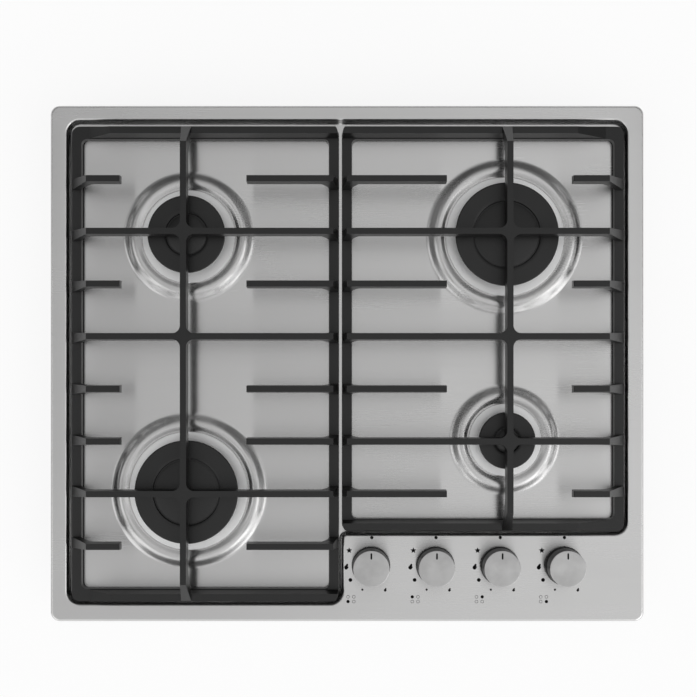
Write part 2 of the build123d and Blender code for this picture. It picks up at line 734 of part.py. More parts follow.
# ---- taps and knobs ----
def tap_body(x):
    """Tap housing with its saddle on the manifold, outlet to the rear and two ears."""
    body = rod(tap_radius, tap_bottom_z, tap_top_z, x, knob_y)
    body += block((x - saddle_width / 2, manifold_y + manifold_radius / 2, manifold_z - manifold_radius),
                  (x + saddle_width / 2, knob_y, tap_top_z - ear_thickness / 2))
    outlet = Cylinder(port_radius, 2 * tap_outlet_length)
    body += Pos(x, knob_y + tap_radius, pipe_z) * Rot(90, 0, 0) * outlet
    ears = Pos(x, knob_y) * SlotCenterToCenter(2 * ear_offset, 2 * ear_radius)
    body += raised(ears, tap_top_z - ear_thickness, tap_top_z)
    way = Pos(x, manifold_y, manifold_z) * Rot(0, 90, 0)
    body -= way * Cylinder(manifold_radius + saddle_gap, 2 * saddle_width)
    body -= rod(plug_radius + fit_gap, tap_bottom_z + tap_wall, plug_top_z + fit_gap, x, knob_y)
    body -= rod(spindle_radius + fit_gap, plug_top_z - 1, tap_top_z + 1, x, knob_y)
    for side in (-1, 1):
        body -= rod(screw_radius, tap_top_z - ear_thickness - 1, tap_top_z + 1, x + side * ear_offset, knob_y)
    return body


def spindle_section():
    """Round shaft with one flat."""
    return Circle(spindle_radius) - Pos(0, spindle_flat + spindle_radius) * Rectangle(
        2 * spindle_radius, 2 * spindle_radius)


def tap_plug(x):
    """Plug that turns in the tap, with a slot that the spindle slides in."""
    plug = rod(plug_radius, tap_bottom_z + tap_wall + fit_gap, plug_top_z, x, knob_y)
    slot = Circle(spindle_radius + fit_gap) - Pos(0, spindle_flat + fit_gap + spindle_radius) * Rectangle(
        2 * spindle_radius + 2, 2 * spindle_radius)
    plug -= Pos(x, knob_y) * raised(slot, plug_top_z - plug_slot_depth, plug_top_z + 1)
    gas_groove = rod(plug_radius + 1, pipe_z - plug_groove / 2, pipe_z + plug_groove / 2, x, knob_y)
    gas_groove -= rod(plug_radius - plug_groove / 2, pipe_z - plug_groove, pipe_z + plug_groove, x, knob_y)
    return plug - gas_groove


def tap_spindle(x):
    return Pos(x, knob_y) * raised(spindle_section(), plug_top_z - spindle_depth, rim_z + spindle_rise)


def knob_base(x):
    """Black skirt and hub of a knob, hollow below."""
    bottom, shoulder, top = knob_bottom_z, knob_shoulder_z, knob_top_z - knob_face
    hub_bottom, roof = bottom + knob_hub_rise, shoulder - knob_wall
    neck, inside = knob_top_radius - knob_wall, knob_radius - knob_wall
    base = turned(
        (0, top), (neck, top), (knob_sleeve_radius - knob_wall, shoulder),
        (knob_radius - knob_base_lean, shoulder), (knob_radius, bottom + knob_skirt_straight),
        (knob_radius, bottom + knob_foot_bevel), (knob_radius - knob_foot_bevel, bottom),
        (inside, bottom), (inside, roof), (knob_hub_radius, roof),
        (knob_hub_radius, hub_bottom), (0, hub_bottom))
    base = Pos(x, knob_y) * base
    return base - Pos(x, knob_y) * raised(spindle_section(), bottom - 1, rim_z + spindle_rise)


def knob_sleeve(x):
    """Metal sleeve and face of a knob, with the recess of its pointer."""
    shoulder, top = knob_shoulder_z, knob_top_z
    sleeve = turned(
        (0, top), (knob_top_radius - knob_edge_bevel, top), (knob_top_radius, top - knob_edge_bevel),
        (knob_sleeve_radius, shoulder), (knob_sleeve_radius - knob_wall, shoulder),
        (knob_top_radius - knob_wall, top - knob_face), (0, top - knob_face))
    pointer_y = knob_top_radius - pointer_inset - pointer_length / 2
    sleeve = Pos(x, knob_y) * sleeve
    recess = Pos(x, knob_y + pointer_y) * SlotOverall(pointer_length, pointer_width, rotation=90)
    return sleeve - raised(recess, top - pointer_depth, top + 1)


def knob_seals():
    rings = [rod(seal_ring_radius, rim_z, rim_z + seal_ring_height, x, knob_y)
             - rod(spindle_radius + fit_gap, rim_z - 1, rim_z + seal_ring_height + 1, x, knob_y)
             for x in knob_xs]
    return Compound(children=rings)


def tap_rail():
    """Channel that hangs from the panel and carries the taps."""
    start, end = knob_xs[0] - rail_overhang, knob_xs[-1] + rail_overhang
    low_y, high_y = knob_y - rail_width / 2, knob_y + rail_width / 2
    under = rim_z - sheet
    rail = block((start, low_y, tap_top_z), (end, high_y, under))
    rail -= block((start - 1, low_y + rail_sheet, tap_top_z + rail_sheet),
                  (end + 1, high_y - rail_sheet, under + 1))
    for x in knob_xs:
        holes = ((x, switch_hole_radius), (x - ear_offset, screw_radius), (x + ear_offset, screw_radius))
        for hole_x, radius in holes:
            rail -= rod(radius, tap_top_z - 1, tap_top_z + 2 * rail_sheet, hole_x, knob_y)
    return rail


def ignition_switches():
    """Switch blocks round the spindles, joined by one strip."""
    bottom = tap_top_z + rail_sheet
    strip_y = knob_y + switch_width / 2
    half = switch_width / 2 - 1
    strip = block((knob_xs[0], strip_y - switch_strip_width / 2, bottom),
                  (knob_xs[-1], strip_y + switch_strip_width / 2, bottom + switch_strip_height))
    for x in knob_xs:
        strip += block((x - half, knob_y - switch_width / 2, bottom),
                       (x + half, knob_y + switch_width / 2, bottom + switch_height))
    for x in knob_xs:
        strip -= rod(switch_hole_radius, bottom - 1, bottom + switch_height + 1, x, knob_y)
        for side in (-1, 1):
            strip -= rod(screw_head_radius + 2 * fit_gap, bottom - 1, bottom + switch_height + 1,
                         x + side * ear_offset, knob_y)
    return strip


# ---- gas way ----
def tube(points, bend, radius):
    """A round bar along straight runs joined by bends."""
    path = FilletPolyline(*points, radius=bend) if len(points) > 2 else Line(*points)
    start = Vector(*points[0])
    heading = Vector(*points[1]) - start
    return sweep(Plane(origin=start, z_dir=heading) * Circle(radius), path=path)


def gas_manifold():
    start_x = knob_xs[0] - tap_radius - pipe_radius
    run = [(start_x, manifold_y, manifold_z), (manifold_side_x, manifold_y, manifold_z),
           (manifold_side_x, inlet_y - inlet_body_radius, manifold_z)]
    bore = [(start_x + throat_wall, manifold_y, manifold_z)] + run[1:]
    return tube(run, manifold_bend, manifold_radius) - tube(bore, manifold_bend, manifold_bore)


def gas_inlet_elbow():
    x, y = manifold_side_x, inlet_y
    roof = pocket_z + box_sheet
    elbow = rod(inlet_body_radius, roof, inlet_body_top_z, x, y)
    socket_length = inlet_body_radius
    along = Pos(x, y - socket_length / 2, manifold_z) * Rot(90, 0, 0)
    elbow += along * Cylinder(manifold_radius, socket_length)
    thread_top = pocket_z - inlet_neck_length
    thread_foot = thread_top - inlet_thread_length
    elbow += rod(inlet_neck_radius, thread_top, roof, x, y)
    elbow += rod(inlet_thread_radius, thread_foot, thread_top, x, y)
    elbow -= rod(inlet_bore, thread_foot - 1, manifold_z, x, y)
    elbow -= along * Cylinder(inlet_bore, socket_length)
    return elbow


def gas_pipe(index):
    """Pipe from a tap's outlet to its burner's jet holder."""
    x, name = knob_xs[index], knob_burners[index]
    start = (x, knob_y + tap_radius + tap_outlet_length, pipe_z)
    burner_x, burner_y = burner_centres[name]
    bearing = radians(injector_port(name))
    end = (burner_x + port_length * cos(bearing), burner_y + port_length * sin(bearing), pipe_z)
    if name == "front_left":
        between = [(x, front_lane_y, pipe_z), (end[0], front_lane_y, pipe_z)]
    elif name == "front_right":
        between = [(x, end[1], pipe_z)]
    else:
        lane_x = rear_lane_x[name]
        between = [(x, rear_lane_y, pipe_z), (lane_x, rear_lane_y, pipe_z), (lane_x, end[1], pipe_z)]
    return tube([start, *between, end], pipe_bend, pipe_radius)


# ---- electrics, clamps and screws ----
def ignition_module():
    (x, y), (length, width, height) = module_centre, module_size
    base = Pos(x, y) * RectangleRounded(length, width, module_edge_radius)
    case = raised(base, box_sheet, box_sheet + height)
    spade_width, spade_length, spade_thickness = spade_size
    for knob in range(knob_count):
        spade_x = x + (knob - (knob_count - 1) / 2) * spade_pitch
        case += block((spade_x - spade_width / 2, y + width / 2, spade_z),
                      (spade_x + spade_width / 2, y + width / 2 + spade_length, spade_z + spade_thickness))
    return case


def terminal_block():
    length, width, height = terminal_size
    y = box_rear - box_sheet - gland_inside - width
    middle, top = box_sheet + height / 2, box_sheet + height
    strip = block((gland_x - length / 2, y - width / 2, box_sheet),
                  (gland_x + length / 2, y + width / 2, middle))
    for index in range(terminal_count):
        x = gland_x + (index - (terminal_count - 1) / 2) * length / terminal_count
        strip += block((x - terminal_step_width / 2, y - width / 2, middle),
                       (x + terminal_step_width / 2, y + width / 2, top))
        strip -= rod(terminal_screw_radius, top - terminal_screw_depth, top + 1, x, y)
    return strip


def cable_gland():
    """Gland clamped through the rear wall, with the bore for the mains lead."""
    inner_end, outer_end = box_rear - box_sheet - gland_inside, box_rear + gland_outside

    def along_y(radius, low, high):
        return Pos(gland_x, (low + high) / 2, gland_z) * Rot(90, 0, 0) * Cylinder(radius, high - low)

    gland = along_y(gland_radius, inner_end, outer_end)
    gland += along_y(gland_head_radius, box_rear, box_rear + gland_outside / 2)
    gland += along_y(gland_head_radius, box_rear - box_sheet - gland_inside / 2, box_rear - box_sheet)
    return gland - along_y(gland_bore, inner_end - 1, outer_end + 1)


def clamp_places():
    return [(side, y) for side in (-1, 1) for y in (-clamp_y, clamp_y)]


def clamp_side(side):
    return box_left if side < 0 else box_right


def worktop_clamps():
    clamps = []
    for side, y in clamp_places():
        x = clamp_side(side)
        leg = block((min(x, x + side * clamp_sheet), y - clamp_width / 2, clamp_foot_z),
                    (max(x, x + side * clamp_sheet), y + clamp_width / 2, clamp_leg_top_z))
        foot = block((min(x, x + side * clamp_foot), y - clamp_width / 2, clamp_foot_z),
                     (max(x, x + side * clamp_foot), y + clamp_width / 2, clamp_foot_z + clamp_sheet))
        bracket = leg + foot
        bracket -= Pos(x, y, clamp_screw_z) * Rot(0, 90, 0) * Cylinder(screw_radius, 6 * clamp_sheet)
        clamps.append(bracket)
    return Compound(children=clamps)


def screw(length):
    """Hexagon screw that points down, its head resting at height 0."""
    return raised(RegularPolygon(screw_head_radius, 6), 0, screw_head_height) + rod(screw_radius, -length, 0)


def screws():
    group = []
    for x in knob_xs:
        for side in (-1, 1):
            group.append(Pos(x + side * ear_offset, knob_y, tap_top_z + rail_sheet) * screw(tap_screw_length))
    for side, y in clamp_places():
        x = clamp_side(side) + side * clamp_sheet
        group.append(Pos(x, y, clamp_screw_z) * Rot(0, side * 90, 0) * screw(clamp_screw_length))
    return Compound(children=group)


save(top_plate(), "top_plate")
save(rim_seal(), "rim_seal")
save(bottom_box(), "bottom_box")
for side, frame in zip(("left", "right"), frames()):
    save(grate(frame), f"{side}_grate")
    save(grate_feet(frame), f"{side}_grate_feet")
for name in burner_centres:
    save(burner_cup(name), f"burner_cup_{name}")
    save(burner_head(name), f"burner_head_{name}")
    save(burner_cap(name), f"burner_cap_{name}")
    save(thermocouple(name), f"thermocouple_{name}")
save(injectors(), "injectors")
save(igniters(), "igniters")
for index, x in enumerate(knob_xs):
    place = knob_burners[index]
    save(tap_body(x), f"tap_body_{place}")
    save(tap_plug(x), f"tap_plug_{place}")
    save(tap_spindle(x), f"tap_spindle_{place}")
    save(knob_base(x), f"knob_base_{place}")
    save(knob_sleeve(x), f"knob_sleeve_{place}")
    save(gas_pipe(index), f"gas_pipe_{place}")
save(knob_seals(), "knob_seals")
save(tap_rail(), "tap_rail")
save(ignition_switches(), "ignition_switches")
save(gas_manifold(), "gas_manifold")
save(gas_inlet_elbow(), "gas_inlet_elbow")
save(ignition_module(), "ignition_module")
save(terminal_block(), "terminal_block")
save(cable_gland(), "cable_gland")
save(worktop_clamps(), "worktop_clamps")
save(screws(), "screws")
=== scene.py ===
import json
from math import atan2, cos, degrees, exp, hypot, pi, radians, sin, tan

import bpy
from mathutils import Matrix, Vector

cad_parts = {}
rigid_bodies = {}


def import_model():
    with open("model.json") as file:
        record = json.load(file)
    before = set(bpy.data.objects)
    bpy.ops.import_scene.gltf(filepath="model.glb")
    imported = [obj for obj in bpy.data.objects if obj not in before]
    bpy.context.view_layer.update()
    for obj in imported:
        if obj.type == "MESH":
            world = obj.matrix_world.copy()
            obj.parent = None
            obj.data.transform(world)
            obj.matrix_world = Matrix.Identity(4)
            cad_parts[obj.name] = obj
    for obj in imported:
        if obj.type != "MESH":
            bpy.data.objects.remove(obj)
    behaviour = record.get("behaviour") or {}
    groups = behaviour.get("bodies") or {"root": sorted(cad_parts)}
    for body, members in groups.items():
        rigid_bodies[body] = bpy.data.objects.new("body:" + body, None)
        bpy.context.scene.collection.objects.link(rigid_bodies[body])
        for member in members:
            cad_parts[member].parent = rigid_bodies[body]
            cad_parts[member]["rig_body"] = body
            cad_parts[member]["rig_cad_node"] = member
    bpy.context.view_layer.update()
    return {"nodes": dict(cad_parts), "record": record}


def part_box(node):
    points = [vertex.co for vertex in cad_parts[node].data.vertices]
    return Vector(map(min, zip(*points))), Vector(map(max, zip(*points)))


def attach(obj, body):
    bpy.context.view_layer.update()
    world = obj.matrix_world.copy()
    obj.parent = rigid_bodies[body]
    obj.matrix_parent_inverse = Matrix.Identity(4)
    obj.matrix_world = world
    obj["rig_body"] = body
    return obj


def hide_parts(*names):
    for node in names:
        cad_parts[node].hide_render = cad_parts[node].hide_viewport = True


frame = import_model()
nodes = frame["nodes"]
burnerNames = ["rear_left", "rear_right", "front_left", "front_right"]
mm = 0.001
weld = mm / 100            # points nearer than this are one
flatAngle = radians(1)     # faces that meet at less are one flat
knobFaceZ = max(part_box(f"knob_sleeve_{name}")[1].z for name in burnerNames)
print("frame loaded,", len(nodes), "nodes")

bpy.context.scene.view_settings.view_transform = "Standard"


class Link:
    def __init__(self, paint, socket):
        self.paint, self.socket = paint, socket

    def compute(self, kind, *others):
        return self.paint.node("Math", {"operation": kind}, dict(enumerate([self, *others])))

    def __add__(self, other):
        return self.compute("ADD", other)

    def __radd__(self, other):
        return self.compute("ADD", other)

    def __rsub__(self, other):
        return self.paint.node("Math", {"operation": "SUBTRACT"}, {0: other, 1: self})

    def __mul__(self, other):
        return self.compute("MULTIPLY", other)


class Paint:
    def __init__(self, tree):
        self.tree = tree

    def node(self, kind, settings=None, sockets=None, outlet=0):
        made = self.tree.nodes.new("ShaderNode" + kind)
        for key, value in (settings or {}).items():
            setattr(made, key, value)
        for key, value in (sockets or {}).items():
            self.plug(made.inputs[key], value)
        return Link(self, made.outputs[outlet])

    def plug(self, socket, value):
        if isinstance(value, Link):
            self.tree.links.new(value.socket, socket)
        else:
            socket.default_value = value

    def step(self, value, low, high):
        return self.node("MapRange", {"interpolation_type": "SMOOTHSTEP"},
                         {"Value": value, "From Min": low, "From Max": high})

    def place(self, scale=(1, 1, 1)):
        where = self.node("TexCoord", outlet="Object")
        return self.node("Mapping", None, {"Vector": where, "Scale": scale})

    def noise(self, where, scale, detail=2.0, rough=0.5):
        return self.node("TexNoise", None,
                         {"Vector": where, "Scale": scale, "Detail": detail, "Roughness": rough})

    def blend(self, share, first, second):
        return self.node("Mix", {"data_type": "RGBA"}, {0: share, 6: first, 7: second}, outlet=2)

    def bump(self, height, strength, distance):
        return self.node("Bump", None, {"Height": height, "Strength": strength, "Distance": distance})

    def grain(self):
        return self.node("Tangent", {"direction_type": "UV_MAP", "uv_map": "grain"})

    def coat(self, surface, colour, rough, height, bump):
        self.plug(surface["Base Color"], colour)
        self.plug(surface["Roughness"], rough)
        self.plug(surface["Normal"], self.bump(height, *bump))


def weigh(links, shares):
    first, *others = [link * share for link, share in zip(links, shares)]
    return sum(others, first)


def newFinish(name, **sockets):
    material = bpy.data.materials.new(name)
    material.use_nodes = True
    shader = material.node_tree.nodes["Principled BSDF"]
    for key, value in sockets.items():
        shader.inputs[key.replace("_", " ")].default_value = value
    return material, Paint(material.node_tree), shader.inputs


def grey(tone, warm=0.0):
    return (tone * (1 + warm), tone, tone * (1 - warm), 1)


# In every finish, noise scales are per metre, a rough value is the least roughness, the
# rough shares say what each noise adds to it, and bump is a strength and a depth in metres.
fineNoise = {"detail": 3.0, "rough": 0.6}

plateFinish = {
    "tone": 0.66,
    "spread": 0.035,                      # how far the tone strays either way
    "warm": 0.004,
    "range": (0.30, 0.70),                # noise that gives the darkest and the lightest tone
    "blur": 0.92,                         # how far reflections smear across the brushing
    "hairlines": (14.0, 2200.0, 2200.0),  # along x, y, z
    "bands": (2.5, 150.0, 150.0),
    "clouds": (5.0, 9.0, 9.0),
    "toneShares": (0.15, 0.15, 0.70),
    "rough": 0.245,
    "roughShares": (0.01, 0.04),
    "bump": (0.002, 0.0002),
}


def plateSteel():
    look = plateFinish
    material, paint, surface = newFinish("brushed_plate", Metallic=1.0, Anisotropic=look["blur"])
    fine = paint.noise(paint.place(look["hairlines"]), 1.0, **fineNoise)
    bands = paint.noise(paint.place(look["bands"]), 1.0)
    clouds = paint.noise(paint.place(look["clouds"]), 1.0)
    shade = paint.step(weigh((fine, bands, clouds), look["toneShares"]), *look["range"])
    dark, light = [grey(look["tone"] * (1 + way * look["spread"]), look["warm"]) for way in (-1, 1)]
    rough = weigh((fine, clouds), look["roughShares"]) + look["rough"]
    paint.coat(surface, paint.blend(shade, dark, light), rough, fine, look["bump"])
    paint.plug(surface["Tangent"], paint.grain())
    return material


ironFinish = {
    "pits": 900.0,
    "waves": 150.0,
    "toneShares": (0.7, 0.3),
    "tones": (0.002, 0.006),
    "rough": 0.30,
    "roughShare": 0.12,
    "bumpShares": (0.6, 0.8),
    "bump": (0.30, 0.0003),
}


def castIron():
    look = ironFinish
    material, paint, surface = newFinish("cast_iron_enamel", IOR=1.5, Specular_IOR_Level=0.5)
    where = paint.place()
    pits = paint.noise(where, look["pits"], **fineNoise)
    waves = paint.noise(where, look["waves"])
    dark, light = [grey(tone) for tone in look["tones"]]
    paint.coat(surface, paint.blend(weigh((pits, waves), look["toneShares"]), dark, light),
               look["rough"] + pits * look["roughShare"],
               weigh((pits, waves), look["bumpShares"]), look["bump"])
    return material


capFinish = {
    "grain": 1400.0,
    "cloud": 40.0,
    "tones": (0.003, 0.008),
    "rough": 0.30,
    "roughShares": (0.10, 0.06),
    "bumpShares": (1.0, 0.5),
    "bump": (0.08, 0.0002),
}


def capEnamel():
    look = capFinish
    material, paint, surface = newFinish("cap_enamel", IOR=1.5, Specular_IOR_Level=0.5)
    where = paint.place()
    grain = paint.noise(where, look["grain"])
    cloud = paint.noise(where, look["cloud"])
    dark, light = [grey(tone) for tone in look["tones"]]
    paint.coat(surface, paint.blend(cloud, dark, light),
               weigh((grain, cloud), look["roughShares"]) + look["rough"],
               weigh((grain, cloud), look["bumpShares"]), look["bump"])
    return material


aluminiumFinish = {
    "grain": 1500.0,
    "cloud": 60.0,
    "toneShares": (0.5, 0.5),
    "darkest": 0.85,          # of the tone
    "roughShares": (0.14, 0.08),
    "bump": (0.12, 0.0002),
}


def castAluminium(name, tone, rough):
    look = aluminiumFinish
    material, paint, surface = newFinish(name, Metallic=1.0)
    where = paint.place()
    grain = paint.noise(where, look["grain"], **fineNoise)
    cloud = paint.noise(where, look["cloud"])
    shade = weigh((grain, cloud), look["toneShares"])
    paint.coat(surface, paint.blend(shade, grey(tone * look["darkest"]), grey(tone)),
               weigh((grain, cloud), look["roughShares"]) + rough, grain, look["bump"])
    return material


turnedFinish = {
    "lines": (200.0, 200.0, 3000.0),
    "roughShare": 0.12,
    "bump": (0.08, 0.0002),
}


def turnedMetal(name, low, high, rough):
    look = turnedFinish
    material, paint, surface = newFinish(name, Metallic=1.0)
    lines = paint.noise(paint.place(look["lines"]), 1.0)
    paint.coat(surface, paint.blend(lines, low, high), lines * look["roughShare"] + rough, lines,
               look["bump"])
    return material


zincFinish = {
    "flakes": 130.0,
    "cloud": 300.0,
    "cloudDetail": 3.0,
    "toneShares": (0.55, 0.45),
    "rough": 0.30,
    "roughShares": (0.14, 0.10),
    "bump": (0.08, 0.0002),
}


def galvanised(name, low, high):
    look = zincFinish
    material, paint, surface = newFinish(name, Metallic=1.0)
    where = paint.place()
    cells = paint.node("TexVoronoi", None, {"Vector": where, "Scale": look["flakes"]}, outlet=1)
    flakes = paint.node("SeparateColor", None, {0: cells})
    cloud = paint.noise(where, look["cloud"], look["cloudDetail"])
    paint.coat(surface, paint.blend(weigh((flakes, cloud), look["toneShares"]), low, high),
               weigh((flakes, cloud), look["roughShares"]) + look["rough"], cloud, look["bump"])
    return material


mouldedFinish = {
    "cloud": 50.0,
    "toneShares": (0.5, 0.5),
    "roughShare": 0.16,
    "bump": (0.18, 0.0002),
}


def moulded(name, low, high, rough, scale, gloss=0.4):
    look = mouldedFinish
    material, paint, surface = newFinish(name, IOR=1.46, Specular_IOR_Level=gloss)
    where = paint.place()
    grain = paint.noise(where, scale)
    cloud = paint.noise(where, look["cloud"])
    paint.coat(surface, paint.blend(weigh((grain, cloud), look["toneShares"]), low, high),
               grain * look["roughShare"] + rough, grain, look["bump"])
    return material


foamFinish = {
    "cells": 1400.0,
    "tones": (0.012, 0.035),
    "rough": 0.75,
    "roughShare": 0.2,
    "bump": (0.6, 0.0004),
}


def foam():
    look = foamFinish
    material, paint, surface = newFinish("seal_foam", IOR=1.4, Specular_IOR_Level=0.2)
    cells = paint.node("TexVoronoi", None, {"Vector": paint.place(), "Scale": look["cells"]})
    dark, light = [grey(tone) for tone in look["tones"]]
    paint.coat(surface, paint.blend(cells, dark, light), look["rough"] + cells * look["roughShare"],
               cells, look["bump"])
    return material


knobFinish = {
    "blur": 0.35,
    "marks": (1800.0, 1800.0, 2600.0),    # along x, y, z
    "cloud": (70.0, 70.0, 70.0),
    "toneShares": (0.4, 0.6),
    "range": (0.3, 0.7),
    "tones": (0.44, 0.54),
    "warm": 0.004,
    # painted shade: the sleeve's side below the face is coloured near black
    "paintedSideShade": 0.04,
    "paintedShadeEdge": (0.9, 0.3),               # mm below the face where the painted shade on the side ends
    "rough": 0.30,
    "roughShares": (0.08, 0.06),
    "bump": (0.02, 0.0002),
}


def knobSteel():
    # turned: the marks of the tool run round the axis, so reflections smear outwards
    look = knobFinish
    material, paint, surface = newFinish("knob_metal", Metallic=1.0, Anisotropic=look["blur"])
    fine = paint.noise(paint.place(look["marks"]), 1.0, **fineNoise)
    cloud = paint.noise(paint.place(look["cloud"]), 1.0)
    shade = paint.step(weigh((fine, cloud), look["toneShares"]), *look["range"])
    dark, light = [grey(tone, look["warm"]) for tone in look["tones"]]
    height = paint.node("SeparateXYZ", None, {0: paint.place()}, outlet="Z")
    # the side under the face gets painted shade, near black in place of the metal's tone
    aboveShade = paint.step(height, *[knobFaceZ - drop * mm for drop in look["paintedShadeEdge"]])
    paint.coat(surface, paint.blend(aboveShade, grey(look["paintedSideShade"]), paint.blend(shade, dark, light)),
               weigh((fine, cloud), look["roughShares"]) + look["rough"], fine, look["bump"])
    paint.plug(surface["Tangent"], paint.grain())
    return material


finishes = {
    "plate_steel": plateSteel(),
    "grate_iron": castIron(),
    "cap_enamel": capEnamel(),
    "burner_aluminium": castAluminium("burner_aluminium", tone=0.95, rough=0.36),
    "tap_aluminium": castAluminium("tap_aluminium", tone=0.62, rough=0.40),
    "box_steel": galvanised("box_steel", grey(0.50), grey(0.66)),
    "clamp_steel": galvanised("clamp_steel", (0.52, 0.53, 0.54, 1), (0.70, 0.70, 0.69, 1)),
    "brass": turnedMetal("brass", (0.56, 0.39, 0.16, 1), (0.80, 0.60, 0.30, 1), rough=0.24),
    "spindle_steel": turnedMetal("spindle_steel", grey(0.50), grey(0.66), rough=0.22),
    "probe_steel": turnedMetal("probe_steel", grey(0.40), grey(0.56), rough=0.30),
    "knob_metal": knobSteel(),
    "knob_black": moulded("knob_black", grey(0.002), grey(0.004), rough=0.34, scale=1800.0, gloss=0.05),
    "foot_rubber": moulded("foot_rubber", grey(0.018), grey(0.030), rough=0.62, scale=900.0, gloss=0.25),
    "ring_rubber": moulded("ring_rubber", grey(0.016), grey(0.028), rough=0.60, scale=900.0, gloss=0.25),
    "module_plastic": moulded("module_plastic", grey(0.030), grey(0.045), rough=0.45, scale=1600.0),
    "switch_plastic": moulded(
        "switch_plastic", grey(0.60, 0.03), grey(0.68, 0.03), rough=0.40, scale=1600.0),
    "ceramic": moulded("ceramic", grey(0.74, 0.02), grey(0.82, 0.02), rough=0.22, scale=1200.0, gloss=0.5),
    "seal_foam": foam(),
}
print("finishes made,", len(finishes))

slotOf = {part["node"]: part["material_slot"] for part in frame["record"]["subparts"]}


def dress(piece, slotName):
    piece.data.materials.clear()
    piece.data.materials.append(finishes[slotName])


def leaveEdit():
    if bpy.context.object and bpy.context.object.mode != "OBJECT":
        bpy.ops.object.mode_set(mode="OBJECT")
    bpy.ops.object.select_all(action="DESELECT")


def begin(name):
    piece = bpy.context.object
    piece.name = name
    piece.data.name = name
    bpy.ops.object.mode_set(mode="EDIT")
    bpy.ops.mesh.select_mode(type="VERT")
    bpy.ops.mesh.select_all(action="SELECT")
    return piece


def makeActive(piece):
    leaveEdit()
    piece.select_set(True)
    bpy.context.view_layer.objects.active = piece


def settle(piece):
    bpy.ops.object.mode_set(mode="OBJECT")
    makeActive(piece)
    bpy.ops.object.transform_apply(location=True, rotation=True, scale=True)
    return piece


def join(pieces, name):
    leaveEdit()
    for piece in pieces:
        piece.select_set(True)
    bpy.context.view_layer.objects.active = pieces[0]
    bpy.ops.object.join()
    pieces[0].name = name
    return pieces[0]


def useModifier(piece, kind, **settings):
    makeActive(piece)
    added = piece.modifiers.new(kind.lower(), kind)
    for key, value in settings.items():
        setattr(added, key, value)
    bpy.ops.object.modifier_apply(modifier=added.name)


def smooth(piece, angle=40):
    makeActive(piece)
    bpy.ops.object.shade_smooth_by_angle(angle=radians(angle))
    useModifier(piece, "WEIGHTED_NORMAL", weight=60, keep_sharp=True)


def pick(piece, kind, test):
    # kind is "edges" or "polygons"; leaves edit mode on, with only the picked ones selected
    makeActive(piece)
    bpy.ops.object.mode_set(mode="EDIT")
    bpy.ops.mesh.select_mode(type="EDGE" if kind == "edges" else "FACE")
    bpy.ops.mesh.select_all(action="DESELECT")
    bpy.ops.object.mode_set(mode="OBJECT")
    for item in getattr(piece.data, kind):
        item.select = test([piece.data.vertices[v].co for v in item.vertices])
    bpy.ops.object.mode_set(mode="EDIT")


def weldAll(piece):
    # leaves edit mode on, with everything selected
    makeActive(piece)
    bpy.ops.object.mode_set(mode="EDIT")
    bpy.ops.mesh.select_all(action="SELECT")
    bpy.ops.mesh.remove_doubles(threshold=weld)
    bpy.ops.mesh.select_all(action="SELECT")


def turnPiece(name, outline, centre, turns, closed=True):
    # spins a chain of (radius, height) points, in mm, round an upright axis
    leaveEdit()
    (radius, height), *rest = outline
    x, y = centre
    bpy.ops.mesh.primitive_plane_add(size=mm, location=((x + radius) * mm, y * mm, height * mm))
    piece = begin(name)
    bpy.ops.mesh.merge(type="CENTER")
    for nextRadius, nextHeight in rest:
        bpy.ops.mesh.extrude_region_move(TRANSFORM_OT_translate={
            "value": ((nextRadius - radius) * mm, 0, (nextHeight - height) * mm)})
        radius, height = nextRadius, nextHeight
    bpy.ops.mesh.select_all(action="SELECT")
    bpy.ops.mesh.spin(steps=turns, angle=2 * pi, center=(x * mm, y * mm, 0), axis=(0, 0, 1))
    bpy.ops.mesh.select_all(action="SELECT")
    bpy.ops.mesh.remove_doubles(threshold=weld / 2)
    bpy.ops.mesh.select_all(action="SELECT")
    if closed:
        bpy.ops.mesh.normals_make_consistent(inside=False)
    bpy.ops.object.mode_set(mode="OBJECT")
    return settle(piece)


def arc(centre, radius, start, end, steps):
    # points of (radius, height) round a centre, angles in degrees from the outward direction
    points = []
    for index in range(steps + 1):
        angle = radians(start + (end - start) * index / steps)
        points.append((centre[0] + radius * cos(angle), centre[1] + radius * sin(angle)))
    return points


def layGrain(piece, lay):
    # a UV map whose u runs the way that reflections smear; lay gives it for a corner of a face
    grain = piece.data.uv_layers.new(name="grain")
    for face in piece.data.polygons:
        for corner in face.loop_indices:
            place = piece.data.vertices[piece.data.loops[corner].vertex_index].co
            grain.data[corner].uv = lay(place, face.center)


# Straight down, as in the photograph. Lengths in mm.
cameraSet = {
    "place": (2.8, -30.8, 1244.0),
    "lens": 63.05,
    "sensor": 36.0,
    "shift": (-0.00215, 0.0667),
}


def addCamera():
    bpy.ops.object.camera_add(location=[value * mm for value in cameraSet["place"]], rotation=(0, 0, 0))
    camera = bpy.context.object
    camera.name = "photo_camera"
    camera.data.lens = cameraSet["lens"]
    camera.data.sensor_width = cameraSet["sensor"]
    camera.data.shift_x, camera.data.shift_y = cameraSet["shift"]
    bpy.context.scene.camera = camera


# The room with soft lamps that the hob reflects, by direction. 1 is white.
studioSet = {
    "rear": 0.16,                  # behind the hob
    "front": 0.95,
    "turn": (-0.58, -0.12),        # y of the direction where front becomes rear
    "backdrop": (0.14, 0.28),      # height where the white backdrop ends
    "ceiling": (0.62, 0.86),       # overhead, left and right
    "ceilingTurn": (-0.25, 0.25),  # x of the direction where left becomes right
    "ceilingEdge": (0.885, 0.945),
    # direction round from +x, height above level, reach, soft edge (all degrees), strength
    "lamps": [
        (195, 54, 12, 10, 0.9),
        (345, 54, 12, 10, 1.2),
        (318, 20, 16, 22, 1.1),
        (228, 22, 14, 16, 0.4),
        (90, 56, 11, 12, 0.35),
    ],
    "floorSize": 12.0,             # metres
    "floorTone": 0.90,
    "floorRough": 0.9,
    "floorLight": 1.04,
    "floorGlow": 0.82,             # share of its own light in what is seen
}


